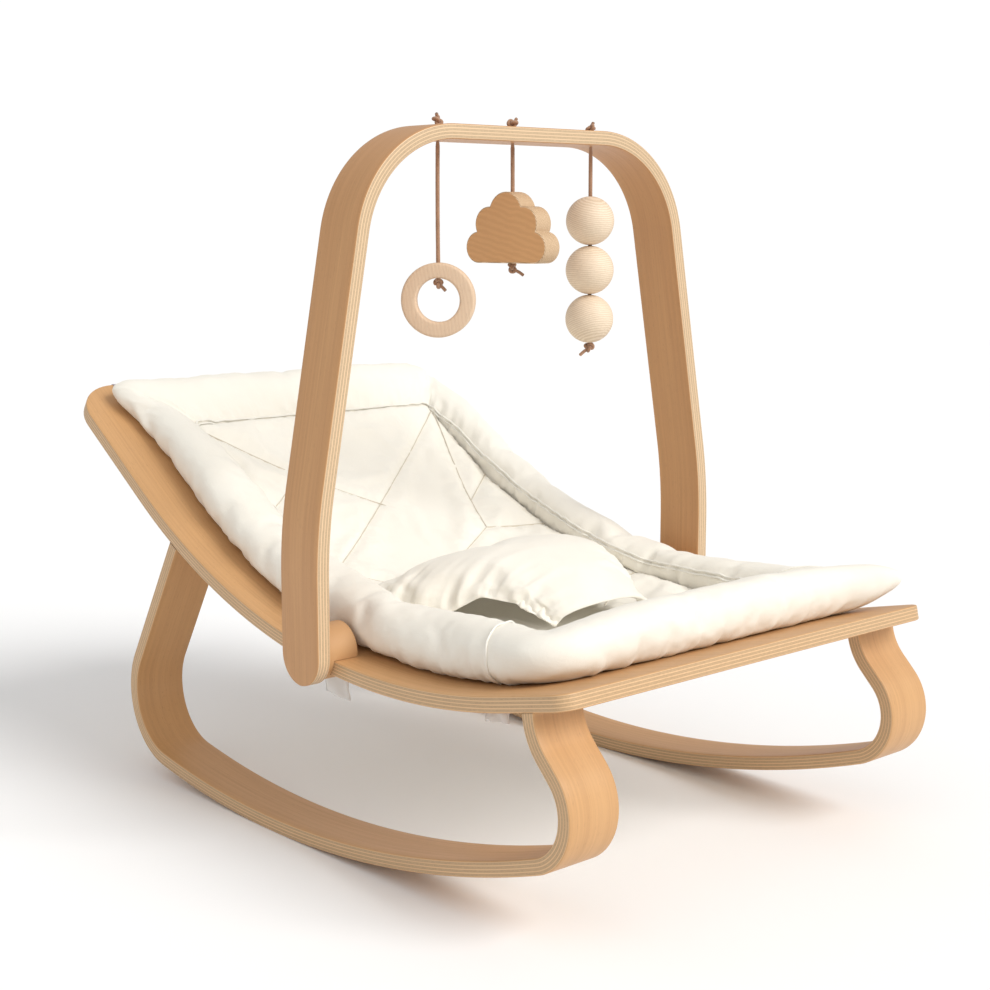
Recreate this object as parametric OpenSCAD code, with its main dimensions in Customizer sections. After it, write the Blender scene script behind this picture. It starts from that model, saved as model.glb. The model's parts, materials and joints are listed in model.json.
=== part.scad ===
// Baby rocker with a bent plywood seat frame, two plywood rockers, a padded
// cushion and a toy arch.  Millimetres, +Z up, +X across the seat, +Y to the head.

/* [Plywood] */
// Thickness of the bent plywood in every strip
ply = 12.5; // [11:0.5:14]
// Width of the rocker strips and of the toy arch strip
strip_w = 50; // [44:1:56]

/* [Seat frame] */
// Width of the seat frame
seat_w = 430; // [400:5:450]
// Radius of the long curve of the seat, underside
seat_r = 640; // [600:5:680]
// Rise of the straight back above the floor plane, degrees
back_angle = 34; // [30:1:36]
// Rise of the foot end above the floor plane, degrees
foot_angle = 12.5; // [10:0.5:15]
// Length of the straight back beyond the curve
back_len = 156; // [140:1:175]
// Length of the straight foot end beyond the curve
foot_len = 69; // [60:1:80]
// Height of the lowest point of the seat frame above the floor
seat_z = 153; // [145:1:170]
// Distance of that lowest point towards the foot
seat_low_y = 139; // [130:1:145]
// Corner radius at the head
head_corner = 44; // [20:1:60]
// Corner radius at the foot
foot_corner = 14; // [8:1:30]
// Width of the side rails of the seat frame
rail_w = 64; // [60:1:72]

/* [Rockers] */
// Distance between the middles of the two rockers
rocker_gap = 380; // [350:2:380]
// Radius of the rocking surface
rock_r = 1000; // [900:10:1200]
// Where the rocker touches the floor, towards the head
contact_y = 16; // [5:1:25]
// Outer radius of the bend behind the seat
rear_bend_r = 66; // [60:1:75]
// Outer radius of the bend under the foot
front_bend_r = 48; // [44:1:54]

/* [Toy arch] */
// Height of the arch above the floor
arch_h = 597; // [560:1:600]
// Outside half width of the arch at its feet
arch_half = 233; // [231:1:238]
// Outer radius of the two top corners
arch_corner = 104; // [90:1:120]
// Inward lean of the arch legs, degrees
arch_lean = 10.5; // [6:0.5:12]
// Distance of the arch from the middle towards the foot
arch_back = 57; // [45:1:65]
// Height of the arch pivot above the floor
pivot_z = 172; // [170:0.5:175]

/* [Toys] */
// Distance of the ring's cord from the middle
ring_out = 85; // [80:1:92]
// Distance of the beads' cord from the middle, on the other side
bead_out = 94; // [86:1:96]
// Thickness of the cords
cord_d = 3.6; // [3:0.1:4]
// Diameter of a bead
bead_d = 43.6; // [40:0.1:43.6]
// Outside diameter of the ring
ring_d = 62.5; // [60:0.5:72]
// Diameter of the hole through the ring
ring_hole = 36.5; // [34:0.5:42]
// Width of the cloud
cloud_w = 88; // [80:1:92]

/* [Cushion] */
// Height of the padded border above the seat frame
border_h = 46; // [35:1:50]
// Half width of the cushion
cushion_half = 186; // [180:1:190]
// Half width of the quilted panel inside the border
panel_half = 134; // [125:1:140]

/* [Hidden] */

gap = 0.5;              // air left between soft parts and their neighbours
wood = [0.86, 0.66, 0.45];
pale_wood = [0.90, 0.80, 0.66];
dark_wood = [0.72, 0.53, 0.36];
cotton = [0.97, 0.95, 0.89];
suede = [0.66, 0.47, 0.34];
steel = [0.75, 0.75, 0.76];

seat_half = seat_w / 2;
seat_low = [-seat_low_y, seat_z];
seat_rear = [[seat_r, back_angle], [back_len, 0]];
seat_front = [[seat_r, foot_angle], [foot_len, 0]];

// ---- paths: a step is [radius, turn], or [length, 0] for a straight --------
function arc_steps(turn) = max(2, ceil(abs(turn) / 2));
function arc_to(q, r, turn, n) = let (s = sign(turn)) [for (i = [1:n])
  let (a = q[2] + turn * i / n)
  [q[0] + s * r * (sin(a) - sin(q[2])), q[1] - s * r * (cos(a) - cos(q[2])), a]];
function ahead(q, d) = [[q[0] + d * cos(q[2]), q[1] + d * sin(q[2]), q[2]]];
function trace(steps, q, i = 0) = i == len(steps) ? [q] :
  let (st = steps[i],
       leg = st[1] == 0 ? ahead(q, st[0]) : arc_to(q, st[0], st[1], arc_steps(st[1])))
  concat([q], [for (k = [0:1:len(leg) - 2]) leg[k]], trace(steps, leg[len(leg) - 1], i + 1));
// points beside a path, d to its left
function beside(pts, d) = [for (p = pts) [p[0] - d * sin(p[2]), p[1] + d * cos(p[2])]];
function backward(v) = [for (i = [len(v) - 1:-1:0]) v[i]];
function flip(steps) = [for (s = steps) [s[0], -s[1]]];
// outline of a band that runs both ways from its lowest point, d0 to d1 above its path
function band(low, rear, front, d0, d1) =
  let (r = trace(rear, [low[0], low[1], 0]), f = trace(flip(front), [low[0], low[1], 180]))
  concat(backward(beside(f, -d0)), beside(r, d0), backward(beside(r, d1)), beside(f, -d1));
// height of the seat surface, d above its underside, along the long curve
function seat_height(y, d) = seat_z + seat_r - sqrt(pow(seat_r - d, 2) - pow(y + seat_low_y, 2));

// draws a side outline, given as [y, z], as a slab across the seat
module across(w, x = 0) {
  translate([x, 0, 0]) rotate([90, 0, 90]) linear_extrude(w, center = true) children();
}
module seat_band(d0, d1, w, trim_rear = 0, trim_front = 0) {
  across(w) polygon(band(seat_low,
    [[seat_r, back_angle], [back_len - trim_rear, 0]],
    [[seat_r, foot_angle], [foot_len - trim_front, 0]], d0, d1));
}
module rounded_plan(x0, y0, x1, y1, r) {
  translate([x0 + r, y0]) square([x1 - x0 - 2 * r, y1 - y0]);
  translate([x0, y0 + r]) square([x1 - x0, y1 - y0 - 2 * r]);
  for (x = [x0 + r, x1 - r], y = [y0 + r, y1 - r]) translate([x, y]) circle(r, $fn = 64);
}
// the waste outside a rounded corner at the origin, which points to +X and +Y
module corner_waste(r, h) {
  linear_extrude(h, center = true) difference() {
    translate([-r, -r]) square(r + 40);
    translate([-r, -r]) circle(r, $fn = 64);
    translate([-r - 60, -r]) square([60, 2 * r + 60]);
  }
}

// ---- seat frame ----------------------------------------------------------------
rear_path = trace(seat_rear, [seat_low[0], seat_low[1], 0]);
front_path = trace(flip(seat_front), [seat_low[0], seat_low[1], 180]);
head_end = rear_path[len(rear_path) - 1];
foot_end = front_path[len(front_path) - 1];
hole_head = 267;
hole_foot = -267;
screw_head_r = 4.5;
screw_r = 2.2;
screw_bore = 2.25;
front_screw_len = 22;    // short, as the leg curves away under the seat
rear_screw_len = 46;
screw_sink = 3;
screw_dx = 14;

// clearance for one screw through the seat frame, head and shank
module screw_hole() {
  cylinder(h = 120, r = screw_bore, center = true, $fn = 32);
  cylinder(h = 40, r = screw_head_r + 0.4, $fn = 32);
}
module seat_frame() {
  color(wood) difference() {
    seat_band(0, ply, seat_w);
    for (s = [-1, 1]) {
      translate([s * seat_half, head_end[0], head_end[1]]) rotate([head_end[2], 0, 0])
        mirror([s < 0 ? 1 : 0, 0, 0]) corner_waste(head_corner, 60);
      translate([s * seat_half, foot_end[0], foot_end[1]]) rotate([foot_end[2] - 180, 0, 0])
        mirror([0, 1, 0]) mirror([s < 0 ? 1 : 0, 0, 0]) corner_waste(foot_corner, 60);
    }
    linear_extrude(600)
      rounded_plan(rail_w - seat_half, hole_foot, seat_half - rail_w, hole_head, 48);
    each_front_screw() screw_hole();
    each_rear_screw() screw_hole();
  }
}

// ---- rockers -------------------------------------------------------------------
rear_lean = 120.7;       // heading of the rear leg, from +Y
rear_turn = 10.2;        // part of the rocking curve behind the contact point
front_turn = 19.5;       // part of it in front
knee_angle = 46;         // slope of the short straight above the foot bend
shin_r = 44;             // radius of the bend back to upright
rock_rear = [[rock_r, rear_turn], [rear_bend_r, rear_lean - rear_turn], [190, 0]];
rock_front = [[rock_r, front_turn], [front_bend_r, 180 - front_turn - knee_angle],
  [17, 0], [shin_r, knee_angle - 90], [30, 0]];
rock_low = [contact_y, 0];
rock_front_path = trace(flip(rock_front), [contact_y, 0, 180]);
rock_rear_path = trace(rock_rear, [contact_y, 0, 0]);
front_top = rock_front_path[len(rock_front_path) - 1];
rear_top = rock_rear_path[len(rock_rear_path) - 1];

// side outline of everything above the underside of the seat frame
module above_seat() {
  polygon(band(seat_low, [[seat_r, back_angle], [back_len + 60, 0]],
    [[seat_r, foot_angle], [foot_len + 60, 0]], 0, 130));
}
module rocker(side) {
  color(wood) difference() {
    across(strip_w, side * rocker_gap / 2) difference() {
      polygon(band(rock_low, rock_rear, rock_front, 0, ply));
      above_seat();
    }
    each_front_screw() cylinder(h = 2 * front_screw_len, r = screw_bore, center = true, $fn = 32);
    each_rear_screw() cylinder(h = 2 * rear_screw_len, r = screw_bore, center = true, $fn = 32);
  }
}
module rocker_right() { rocker(-1); }
module rocker_left() { rocker(1); }

// where the legs meet the seat: [y, z, heading] of the middle of the ply
front_joint_y = front_top[0] + ply / 2 - 1.5;
front_joint_z = 185;
rear_joint = [rear_top[0] - ply / 2 * sin(rear_lean), rear_top[1] + ply / 2 * cos(rear_lean)];
rear_up = 44.2;            // from the drawn end of the rear leg back to the seat's top face
// these put their children at each screw head's seat, with the shank down -Z into the leg
module each_front_screw() {
  for (s = [-1, 1], dx = [-screw_dx, screw_dx])
    translate([s * rocker_gap / 2 + dx, front_joint_y, front_joint_z - screw_sink]) children();
}
module each_rear_screw() {
  for (s = [-1, 1], dx = [-screw_dx, screw_dx])
    translate([s * rocker_gap / 2 + dx, rear_joint[0] - rear_up * cos(rear_lean),
      rear_joint[1] - rear_up * sin(rear_lean)]) rotate([rear_lean - 90, 0, 0]) children();
}
module screw(shank) {
  difference() {
    union() {
      cylinder(h = 2.4, r = screw_head_r, $fn = 32);
      translate([0, 0, -shank]) cylinder(h = shank + 1, r = screw_r, $fn = 32);
    }
    translate([0, 0, 1]) cylinder(h = 5, r = 2, $fn = 6);
  }
}
module rocker_screws() {
  color(steel) {
    each_front_screw() screw(front_screw_len);
    each_rear_screw() screw(rear_screw_len);
  }
}

// ---- toy arch ------------------------------------------------------------------
// front outline of the arch, outer face: from the right foot up, over and down
foot_low = pivot_z - strip_w / 2;
foot_rise = 86;          // upright part of a leg above its lower end
sway_r = 420;            // bend from upright to the lean
lean_end_z = arch_h - arch_corner + arch_corner * sin(arch_lean);
sway_end_x = arch_half - sway_r * (1 - cos(arch_lean));
sway_end_z = foot_low + foot_rise + sway_r * sin(arch_lean);
lean_len = (lean_end_z - sway_end_z) / cos(arch_lean);
top_half = sway_end_x - lean_len * sin(arch_lean) - arch_corner * cos(arch_lean);
arch_steps = [[foot_rise, 0], [sway_r, arch_lean], [lean_len, 0],
  [arch_corner, 90 - arch_lean], [2 * top_half, 0], [arch_corner, 90 - arch_lean],
  [lean_len, 0], [sway_r, arch_lean], [foot_rise, 0]];
arch_path = trace(arch_steps, [arch_half, foot_low, 90]);
cord_hole_r = 2.6;

module activity_arch() {
  color(wood) difference() {
    translate([0, -arch_back, 0]) rotate([90, 0, 0]) linear_extrude(strip_w, center = true)
      polygon(concat(beside(arch_path, 0), backward(beside(arch_path, ply))));
    // round ends of both legs
    translate([0, -arch_back, pivot_z]) rotate([0, 90, 0]) difference() {
      translate([0, -strip_w, -300]) cube([strip_w, 2 * strip_w, 600]);
      cylinder(h = 700, r = strip_w / 2, center = true, $fn = 96);
    }
    each_cord() translate([0, 0, arch_h - ply - 5]) cylinder(h = 30, r = cord_hole_r, $fn = 32);
    for (s = [-1, 1]) pivot(s) translate([0, 0, insert_from])
      cylinder(h = insert_len + 0.2, r = insert_r + 0.05, $fn = 48);
  }
}

// ---- clamp blocks, pivots --------------------------------------------------------
block_r = 22.7;
block_in = 192;          // inner face of a block
block_out = arch_half - ply - 0.4;
slot_clear = 0.3;
pivot_r = 3;
insert_r = 5;
insert_len = 9;
insert_from = arch_half - ply;
pin_from = 216.3;        // inner end of the pin, in the wall outside the rail

// an axis that points outwards through the pivot, with its zero in the middle plane
module pivot(side) {
  translate([0, -arch_back, pivot_z]) rotate([0, side * 90, 0]) children();
}
// the block grips the side rail in a slot that follows the rail's slope
module clamp_block(side) {
  color(pale_wood) difference() {
    pivot(side) translate([0, 0, block_in])
      cylinder(h = block_out - block_in, r = block_r, $fn = 96);
    seat_slot();
    pivot(side) translate([0, 0, pin_from - 0.4])
      cylinder(h = 30, r = pivot_r + 0.05, $fn = 48);
  }
}
module seat_slot() {
  across(2 * (seat_half + slot_clear)) polygon(band(seat_low, seat_rear, seat_front,
    -slot_clear, ply + slot_clear));
}
module clamp_block_right() { clamp_block(-1); }
module clamp_block_left() { clamp_block(1); }

module pivot_pin(side) {
  color(steel) pivot(side) translate([0, 0, pin_from])
    cylinder(h = insert_from + insert_len - 1 - pin_from, r = pivot_r, $fn = 48);
}
module pivot_pin_right() { pivot_pin(-1); }
module pivot_pin_left() { pivot_pin(1); }

module pivot_insert(side) {
  color(steel) pivot(side) translate([0, 0, insert_from]) difference() {
    cylinder(h = insert_len, r = insert_r, $fn = 48);
    cylinder(h = 40, r = pivot_r + 0.02, center = true, $fn = 48);
  }
}
module pivot_insert_right() { pivot_insert(-1); }
module pivot_insert_left() { pivot_insert(1); }

// ---- cushion -------------------------------------------------------------------
border_low = ply + gap;
border_out_foot = -330;
border_out_head = 336;
border_corner = 40;
border_foot = -233;      // inner edge of the border at the foot
border_head = 245;       // and at the head

module cushion_border() {
  color(cotton) difference() {
    intersection() {
      seat_band(border_low, border_low + border_h, 2 * cushion_half, 18, 34);
      linear_extrude(600) rounded_plan(-cushion_half, border_out_foot,
        cushion_half, border_out_head, border_corner);
    }
    linear_extrude(600)
      rounded_plan(-panel_half, border_foot, panel_half, border_head, 24);
  }
}
panel_low = -6;
panel_high = 20;
module quilted_panel() {
  color(cotton) intersection() {
    seat_band(panel_low, panel_high, 2 * panel_half - 2 * gap);
    linear_extrude(600) rounded_plan(gap - panel_half, border_foot + gap,
      panel_half - gap, border_head - gap, 23.5);
  }
}

// ---- harness: a padded waist arch with a crotch strip down to the panel -----------
waist_half = 116;
waist_rise = 40;
waist_y0 = -79;
waist_y1 = -3;
pad_t = 11;
crotch_half = 46;
crotch_end = -167;
module waist_outline(inset) {
  base = 178;
  polygon([for (a = [0:10:180])
    [(waist_half - inset) * cos(a), base + (waist_rise + pad_t - inset) * pow(sin(a), 0.8)]]);
}
module harness_pad() {
  color(cotton) difference() {
    union() {
      translate([0, waist_y1, 0]) rotate([90, 0, 0]) linear_extrude(waist_y1 - waist_y0) difference() {
        waist_outline(0);
        waist_outline(pad_t);
      }
      across(2 * crotch_half) polygon([[waist_y0 + 6, 229], [waist_y0 - 30, 225],
        [crotch_end + 22, 205], [crotch_end, 190], [crotch_end, 178],
        [crotch_end + 18, 181], [waist_y0 - 30, 212], [waist_y0 + 6, 218]]);
    }
    across(400) polygon(band(seat_low, seat_rear, seat_front, -30, panel_high + gap));
  }
}

// ---- tabs that hold the cushion to the rails ---------------------------------------
tab_t = 2;
tab_in = rail_w + 6;     // how far the tab lies from the outer edge of the rail
tab_snap = 7;            // from a tab's hanging end to its snap
// each pair of tabs: place along the rail, width, reach under the rail, hanging length
tabs = [[-222, 26, 16, 13], [-41, 30, 23, 26]];
module rail_tabs() {
  color([0.86, 0.85, 0.82]) for (s = [-1, 1], tab = tabs) at_tab(s, tab)
    rotate([90, 0, 0]) linear_extrude(tab[1], center = true)
      polygon([[0, 10], [-tab_t, 10], [-tab_t, -3], [0, -5], [tab[2], -5],
        [tab[2] + 3, -5 - tab[3]], [tab[2] + 5, -5 - tab[3]], [tab[2] + 2, -3], [2, -3], [0, -1]]);
}
snap_r = 6;
module tab_snaps() {
  color(steel) for (s = [-1, 1], tab = tabs) at_tab(s, tab)
    translate([tab[2] - tab_snap, 0, -7.2]) cylinder(h = 2.1, r = snap_r, $fn = 48);
}
module at_tab(side, tab) {
  translate([side * (seat_half - tab_in), tab[0], seat_height(tab[0], 0) - 1])
    mirror([side < 0 ? 1 : 0, 0, 0]) children();
}

// elastic straps that hook over the head edge of the seat frame
strap_x = 166;
strap_w = 9;
strap_t = 1.5;
strap_gap = 0.3;
strap_top = 11;
strap_back = 28;
module head_straps() {
  out = strap_gap + strap_t;
  color([0.72, 0.69, 0.72]) for (s = [-1, 1]) across(strap_w, s * strap_x)
    translate([head_end[0], head_end[1]]) rotate(head_end[2]) difference() {
      translate([-strap_back, -out]) square([strap_back + out, ply + 2 * out]);
      translate([-strap_back - 1, -strap_gap])
        square([strap_back + 1 + strap_gap, ply + 2 * strap_gap]);
      translate([-strap_back - 1, ply]) square([strap_back + 1 - strap_top, out + 1]);
    }
}

// ---- toys ------------------------------------------------------------------------
bar_under = arch_h - ply;
ring_x = -ring_out;
cloud_x = -1;
bead_x = bead_out;
ring_z = 453;
ring_t = 13;
ring_turn = -47;         // the way the ring hangs, about its cord
cloud_z = 513;
cloud_t = 20;
cloud_turn = -82;
bead_z = 475;
bead_pitch = 44;
toy_bore = 2.4;

module at_toy(x, z) { translate([x, -arch_back, z]) children(); }
module each_cord() {
  for (x = [ring_x, cloud_x, bead_x]) at_toy(x, 0) children();
}

module ring_toy() {
  mid = (ring_d + ring_hole) / 4;
  half = (ring_d - ring_hole) / 4;
  edge = 4;
  color(pale_wood) at_toy(ring_x, ring_z) rotate([0, 0, ring_turn]) difference() {
    rotate([90, 0, 0]) rotate_extrude($fn = 96) translate([mid, 0]) union() {
      square([2 * half, ring_t - 2 * edge], center = true);
      square([2 * half - 2 * edge, ring_t], center = true);
      for (x = [-1, 1], y = [-1, 1])
        translate([x * (half - edge), y * (ring_t / 2 - edge)]) circle(edge, $fn = 32);
    }
    translate([0, 0, ring_hole / 2 - 4]) cylinder(h = 30, r = toy_bore, $fn = 32);
  }
}

// cloud outline: a flat base with five lobes, as [x, z, radius]
cloud_h = 61;
lobes = [[-31, -17, 13.5], [31, -17, 13.5], [-19, 3, 15], [20, 3, 15], [0, 12, 18.5]];
module cloud_toy() {
  k = cloud_w / 88;
  color(dark_wood) at_toy(cloud_x, cloud_z) rotate([0, 0, cloud_turn]) difference() {
    rotate([90, 0, 0]) linear_extrude(cloud_t, center = true) scale(k) {
      for (b = lobes) translate([b[0], b[1]]) circle(b[2], $fn = 64);
      translate([-31, -30.5]) square([62, 26]);
      translate([-19, -20]) square([39, 30]);
    }
    cylinder(h = 100, r = toy_bore, center = true, $fn = 32);
  }
}

module bead(i) {
  color(pale_wood) at_toy(bead_x, bead_z + i * bead_pitch) difference() {
    sphere(d = bead_d, $fn = 96);
    cylinder(h = 60, r = toy_bore, center = true, $fn = 32);
  }
}
module bead_top() { bead(1); }
module bead_middle() { bead(0); }
module bead_bottom() { bead(-1); }

// ---- cords and knots ----------------------------------------------------------------
ring_cord_end = ring_z + ring_hole / 2 - 1;
cloud_cord_end = cloud_z - 31.5;
bead_cord_end = bead_z - bead_pitch - bead_d / 2 - 1;
knot_r = 4.6;
cord_rings = 14;

// a straight cord from a round nose in the bar's hole down to z1, swept ring by ring
module cord(x, z1) {
  r = cord_d / 2;
  nose = [[r * 0.35, r * 0.94], [r * 0.8, r * 0.6], [r, 0]];
  body = [for (i = [1:cord_rings]) [r, (z1 - bar_under) * i / cord_rings]];
  sections = concat(nose, body);
  n = len(sections);
  sides = 8;
  color(suede) at_toy(x, bar_under) polyhedron(
    points = [for (s = sections, k = [0:sides - 1])
      [s[0] * cos(360 * k / sides), s[0] * sin(360 * k / sides), s[1]]],
    faces = concat([[for (k = [sides - 1:-1:0]) k]],
      [for (i = [0:n - 2], k = [0:sides - 1]) let (a = i * sides, b = a + sides, m = (k + 1) % sides)
        [a + k, a + m, b + m, b + k]],
      [[for (k = [0:sides - 1]) (n - 1) * sides + k]]));
}
module ring_cord() { cord(ring_x, ring_cord_end); }
module cloud_cord() { cord(cloud_x, cloud_cord_end); }
module bead_cord() { cord(bead_x, bead_cord_end); }

// knot on top of the bar, with the short end of cord that fills the bar's hole
module hanger_knot(x) {
  color(suede) at_toy(x, arch_h) {
    translate([0, 0, knot_r]) sphere(r = knot_r, $fn = 48);
    translate([0, 0, cord_d / 2 + 0.1 - ply])
      cylinder(h = ply, r = cord_d / 2, $fn = 32);
  }
}
module ring_hanger_knot() { hanger_knot(ring_x); }
module cloud_hanger_knot() { hanger_knot(cloud_x); }
module bead_hanger_knot() { hanger_knot(bead_x); }

// knot under a toy, with the free tail of the cord
module end_knot(x, z, r, lean) {
  color(suede) at_toy(x, z) {
    translate([0, 0, -r]) rotate([0, 0, 90]) sphere(r = r, $fn = 48);
    translate([0, 0, -r]) rotate([0, lean, 0]) cylinder(h = 12, r = cord_d / 2 - 0.1, $fn = 32);
  }
}
module ring_end_knot() { end_knot(ring_x, ring_cord_end, knot_r, 215); }
module cloud_end_knot() { end_knot(cloud_x, cloud_cord_end, knot_r, 125); }
module bead_end_knot() { end_knot(bead_x, bead_cord_end, knot_r, 240); }

seat_frame();
rocker_right();
rocker_left();
rocker_screws();
activity_arch();
clamp_block_right();
clamp_block_left();
pivot_pin_right();
pivot_pin_left();
pivot_insert_right();
pivot_insert_left();
cushion_border();
quilted_panel();
harness_pad();
rail_tabs();
head_straps();
tab_snaps();
ring_toy();
cloud_toy();
bead_top();
bead_middle();
bead_bottom();
ring_cord();
cloud_cord();
bead_cord();
ring_hanger_knot();
cloud_hanger_knot();
bead_hanger_knot();
ring_end_knot();
cloud_end_knot();
bead_end_knot();
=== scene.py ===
"""Baby rocker seat with a padded cushion and a toy arch, shown in the frame of its
CAD model.  Metres, +Z up, +X across the seat, +Y to the head end."""
import json
import math
import random

import bpy
import numpy as np
from mathutils import Matrix, Vector, noise

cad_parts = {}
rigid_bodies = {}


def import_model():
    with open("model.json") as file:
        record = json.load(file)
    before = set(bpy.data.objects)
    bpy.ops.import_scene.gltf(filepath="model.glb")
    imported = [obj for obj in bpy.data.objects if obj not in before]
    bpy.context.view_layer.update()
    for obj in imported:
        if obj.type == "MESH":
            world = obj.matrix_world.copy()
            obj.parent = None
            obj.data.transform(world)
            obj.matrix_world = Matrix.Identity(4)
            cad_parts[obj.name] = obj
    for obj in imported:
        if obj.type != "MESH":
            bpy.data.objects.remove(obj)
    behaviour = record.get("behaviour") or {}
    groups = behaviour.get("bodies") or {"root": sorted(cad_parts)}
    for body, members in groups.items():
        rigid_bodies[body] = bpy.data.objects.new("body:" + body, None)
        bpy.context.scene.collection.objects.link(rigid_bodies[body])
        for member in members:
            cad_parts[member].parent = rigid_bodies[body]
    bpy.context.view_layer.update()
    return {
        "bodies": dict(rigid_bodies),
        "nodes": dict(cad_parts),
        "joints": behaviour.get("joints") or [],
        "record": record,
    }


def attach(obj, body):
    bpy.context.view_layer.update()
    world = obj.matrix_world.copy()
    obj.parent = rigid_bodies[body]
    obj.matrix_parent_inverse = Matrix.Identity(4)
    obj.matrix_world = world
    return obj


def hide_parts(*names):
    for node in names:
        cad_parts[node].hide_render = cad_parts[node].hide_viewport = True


MM = 0.001
PLY = 12.5 * MM               # thickness of every bent plywood strip
VENEERS = 9                   # layers in it
STRIP = 50 * MM               # width of the rocker strips and of the arch
EDGE = 1.3 * MM               # rounding of the plywood's edges
SEAT_HALF = 215 * MM
ROCKER_X = 190 * MM
ARCH_Y = -57 * MM
ARCH_TOP = 597 * MM
PIVOT_Z = 172 * MM
HEAD_CORNER = 44 * MM
FOOT_CORNER = 14 * MM
# a bend is (radius, degrees to the left), a straight is (length, 0)
SEAT_LOW = (-139 * MM, 153 * MM)
SEAT_REAR = [(640 * MM, 34), (156 * MM, 0)]
SEAT_FRONT = [(640 * MM, 12.5), (69 * MM, 0)]
ROCK_LOW = (16 * MM, 0.0)
ROCK_REAR = [(1.0, 10.2), (66 * MM, 110.5), (190 * MM, 0)]
ROCK_FRONT = [(1.0, 19.5), (48 * MM, 114.5), (17 * MM, 0), (44 * MM, -44), (30 * MM, 0)]
HOLE = (151 * MM, 267 * MM, 48 * MM)   # half width, half length, corner of the seat's opening
CORD = 3.6 * MM
TOY_X = {"ring": -85 * MM, "cloud": -1 * MM, "bead": 94 * MM}
TOY_Z = {"ring": 453 * MM, "cloud": 513 * MM, "bead": 475 * MM}
TOY_TURN = {"ring": -47, "cloud": -82, "bead": 0}      # degrees about the cord
BEAD_STEP = 44 * MM
CORD_END = {"ring": 470.2 * MM, "cloud": 481.5 * MM, "bead": 408.2 * MM}
BAR_UNDER = ARCH_TOP - PLY
SKY_LIGHT, SKY_SEEN = 0.58, 1.02                # the sky as a light and behind the object
CAMERA_AT = (-1.0082, -1.1544, 0.5144)
CAMERA_DOWN, CAMERA_TURN = 8.994, -41.965     # degrees
CAMERA_LENS, CAMERA_SENSOR = 61.82, 36        # millimetres


# ---- paths -----------------------------------
class Path:
    """Points and headings along bends and straights, at any length along them."""

    def __init__(self, start, heading, steps):
        self.parts = []
        p, a, s = np.array(start, float), math.radians(heading), 0.0
        for size, turn in steps:
            t = math.radians(turn)
            length = size if turn == 0 else size * abs(t)
            self.parts.append((s, length, p, a, t))
            p = self._ahead(p, a, length, t, np.array([length]))[0][0]
            a, s = a + t, s + length
        self.length = s

    @staticmethod
    def _ahead(p, a, length, turn, d):
        if turn == 0:
            return p + np.outer(d, [math.cos(a), math.sin(a)]), np.full(len(d), a)
        k = turn / length
        b = a + k * d
        way = np.column_stack([np.sin(b) - math.sin(a), math.cos(a) - np.cos(b)])
        return p + way / k, b

    def at(self, s):
        s = np.atleast_1d(np.asarray(s, float))
        pos, head = np.zeros((len(s), 2)), np.zeros(len(s))
        for i, (s0, length, p, a, t) in enumerate(self.parts):
            last = i == len(self.parts) - 1
            m = (s >= s0 if i else s > -1e9) & ((s < s0 + length) | last)
            if m.any():
                pos[m], head[m] = self._ahead(p, a, length, t, s[m] - s0)
        return pos, head


class TwoWay:
    """A path that runs both ways from its lowest point: + towards the head."""

    def __init__(self, low, rear, front):
        self.low = np.array(low)
        self.rear, self.front = Path((0, 0), 0, rear), Path((0, 0), 0, front)

    def at(self, s):
        s = np.atleast_1d(np.asarray(s, float))
        p, h = self.rear.at(np.maximum(s, 0))
        q, g = self.front.at(np.maximum(-s, 0))
        back = s < 0
        p[back] = q[back] * [-1, 1]
        h[back] = -g[back]
        return p + self.low, h

    def lift(self, s, d):
        """Points d to the left of the path, so above the seat or inside the rocker."""
        p, h = self.at(s)
        return p + np.column_stack([-np.sin(h), np.cos(h)]) * np.reshape(d, (-1, 1))


SEAT = TwoWay(SEAT_LOW, SEAT_REAR, SEAT_FRONT)
ROCK = TwoWay(ROCK_LOW, ROCK_REAR, ROCK_FRONT)
_s = np.linspace(-SEAT.front.length - 0.05, SEAT.rear.length + 0.05, 900)
_under = SEAT.lift(_s, 0)
_top = SEAT.lift(_s, PLY)


def seat_s(y):
    """Length along the seat at a place y on its top."""
    return np.interp(y, _top[:, 0], _s)


def seat_z(y):
    """Height of the seat's underside at a place y."""
    return np.interp(y, _under[:, 0], _under[:, 1])


def on_seat(x, s, h):
    """Points h above the seat's top face, at x across and s along it."""
    x, s, h = np.broadcast_arrays(x, s, h)
    yz = SEAT.lift(s.ravel(), PLY + h.ravel())
    return np.column_stack([x.ravel(), yz])


# ---- meshes ----------------------------------
def new_object(name, verts, faces, material, grain=None):
    mesh = bpy.data.meshes.new(name)
    mesh.from_pydata(np.asarray(verts, float).tolist(), [], faces)
    mesh.validate()
    if grain is not None:
        a = mesh.attributes.new("grain", "FLOAT_VECTOR", "POINT")
        a.data.foreach_set("vector", np.asarray(grain, np.float32).ravel())
    mesh.polygons.foreach_set("use_smooth", [True] * len(mesh.polygons))
    mesh.materials.append(material)
    obj = bpy.data.objects.new(name, mesh)
    bpy.context.scene.collection.objects.link(obj)
    return obj


def grid_faces(n, m, close_n=False, close_m=False):
    """Faces of an n by m grid of points, closed either way."""
    i = np.arange(n if close_n else n - 1)
    j = np.arange(m if close_m else m - 1)
    a, b = np.meshgrid(i, j, indexing="ij")
    c, d = (a + 1) % n, (b + 1) % m
    return np.stack([a * m + b, c * m + b, c * m + d, a * m + d], -1).reshape(-1, 4).tolist()


def tube_faces(n, m):
    """Faces of n closed rings of m points, with both ends capped."""
    ends = [list(range(m))[::-1], list(range((n - 1) * m, n * m))]
    return grid_faces(n, m, False, True) + ends


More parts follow.
